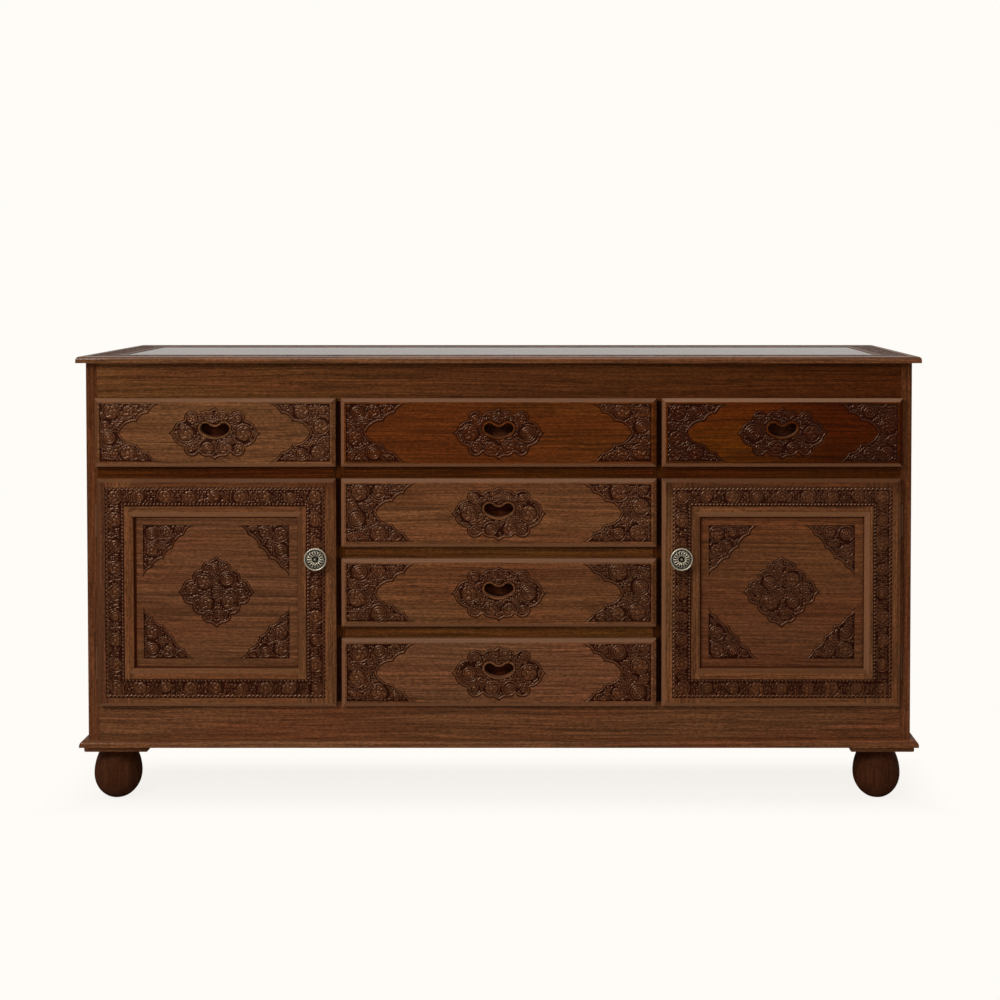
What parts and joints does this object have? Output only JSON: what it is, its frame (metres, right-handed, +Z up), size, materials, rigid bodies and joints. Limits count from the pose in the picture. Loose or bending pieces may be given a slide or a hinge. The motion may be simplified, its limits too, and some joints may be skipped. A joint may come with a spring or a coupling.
{
  "type": "sideboard",
  "caption": "Long carved hardwood sideboard with overlay drawers, cupboard doors at both ends, round brass knobs, kidney finger pulls and turned feet.",
  "frame": {"origin": "on the floor, in the middle of the whole width and depth", "axes": "+X to the right of someone facing the cabinet, +Y from the drawers to the back, +Z up"},
  "size_m": [1.681, 0.5006, 0.9005],
  "materials": {
    "drawer_wood": "satin lacquer, brown walnut",
    "door_wood": "satin lacquer, brown walnut",
    "frame_wood": "satin lacquer, dark red brown",
    "top_wood": "gloss lacquer, brown walnut",
    "foot_wood": "gloss lacquer, near black",
    "inner_wood": "oiled",
    "plywood": "sanded",
    "brass": "antique, dark in the hollows",
    "hinge_brass": "satin",
    "steel": "satin",
    "catch_plastic": "matt"
  },
  "bodies": {
    "carcass": {"back_frame": "frame_wood", "back_panels": "plywood", "base_moulding": "frame_wood", "bottom_board": "inner_wood", "bottom_rail": "frame_wood", "door_catches": "catch_plastic", "drawer_runners": "inner_wood", "feet": "foot_wood", "foot_blocks": "frame_wood", "frieze_rail": "frame_wood", "front_mullions": "frame_wood", "front_rails": "frame_wood", "hinge_frame_leaves": "hinge_brass", "hinge_pins": "steel", "partition_left": "inner_wood", "partition_right": "inner_wood", "post_back_left": "frame_wood", "post_back_right": "frame_wood", "post_front_left": "frame_wood", "post_front_right": "frame_wood", "shelves": "inner_wood", "side_panels": "frame_wood", "side_rails": "frame_wood", "top_frame_back": "top_wood", "top_frame_front": "top_wood", "top_frame_left": "top_wood", "top_frame_right": "top_wood", "top_panel": "top_wood"},
    "drawer_top_left": {"drawer_top_left_bottom": "plywood", "drawer_top_left_box": "inner_wood", "drawer_top_left_front": "drawer_wood"},
    "drawer_top_middle": {"drawer_top_middle_bottom": "plywood", "drawer_top_middle_box": "inner_wood", "drawer_top_middle_front": "drawer_wood"},
    "drawer_top_right": {"drawer_top_right_bottom": "plywood", "drawer_top_right_box": "inner_wood", "drawer_top_right_front": "drawer_wood"},
    "drawer_upper_middle": {"drawer_upper_middle_bottom": "plywood", "drawer_upper_middle_box": "inner_wood", "drawer_upper_middle_front": "drawer_wood"},
    "drawer_lower_middle": {"drawer_lower_middle_bottom": "plywood", "drawer_lower_middle_box": "inner_wood", "drawer_lower_middle_front": "drawer_wood"},
    "drawer_bottom_middle": {"drawer_bottom_middle_bottom": "plywood", "drawer_bottom_middle_box": "inner_wood", "drawer_bottom_middle_front": "drawer_wood"},
    "door_left": {"door_left_hinge_leaves": "hinge_brass", "door_left_hinge_stile": "door_wood", "door_left_knob": "brass", "door_left_lock_stile": "door_wood", "door_left_panel": "door_wood", "door_left_rails": "door_wood", "door_left_strike": "steel"},
    "door_right": {"door_right_hinge_leaves": "hinge_brass", "door_right_hinge_stile": "door_wood", "door_right_knob": "brass", "door_right_lock_stile": "door_wood", "door_right_panel": "door_wood", "door_right_rails": "door_wood", "door_right_strike": "steel"}
  },
  "joints": [
    {"name": "drawer_top_left_slide", "type": "slide", "parent": "carcass", "child": "drawer_top_left", "axis": [0, -1, 0], "range_m": [0, 0.3]},
    {"name": "drawer_top_middle_slide", "type": "slide", "parent": "carcass", "child": "drawer_top_middle", "axis": [0, -1, 0], "range_m": [0, 0.3]},
    {"name": "drawer_top_right_slide", "type": "slide", "parent": "carcass", "child": "drawer_top_right", "axis": [0, -1, 0], "range_m": [0, 0.3]},
    {"name": "drawer_upper_middle_slide", "type": "slide", "parent": "carcass", "child": "drawer_upper_middle", "axis": [0, -1, 0], "range_m": [0, 0.3]},
    {"name": "drawer_lower_middle_slide", "type": "slide", "parent": "carcass", "child": "drawer_lower_middle", "axis": [0, -1, 0], "range_m": [0, 0.3]},
    {"name": "drawer_bottom_middle_slide", "type": "slide", "parent": "carcass", "child": "drawer_bottom_middle", "axis": [0, -1, 0], "range_m": [0, 0.3]},
    {"name": "door_left_hinge", "type": "hinge", "parent": "carcass", "child": "door_left", "pos_m": [-0.805, -0.21475, 0.429], "axis": [0, 0, -1], "range_deg": [0, 110]},
    {"name": "door_right_hinge", "type": "hinge", "parent": "carcass", "child": "door_right", "pos_m": [0.805, -0.21475, 0.429], "axis": [0, 0, 1], "range_deg": [0, 110]}
  ]
}
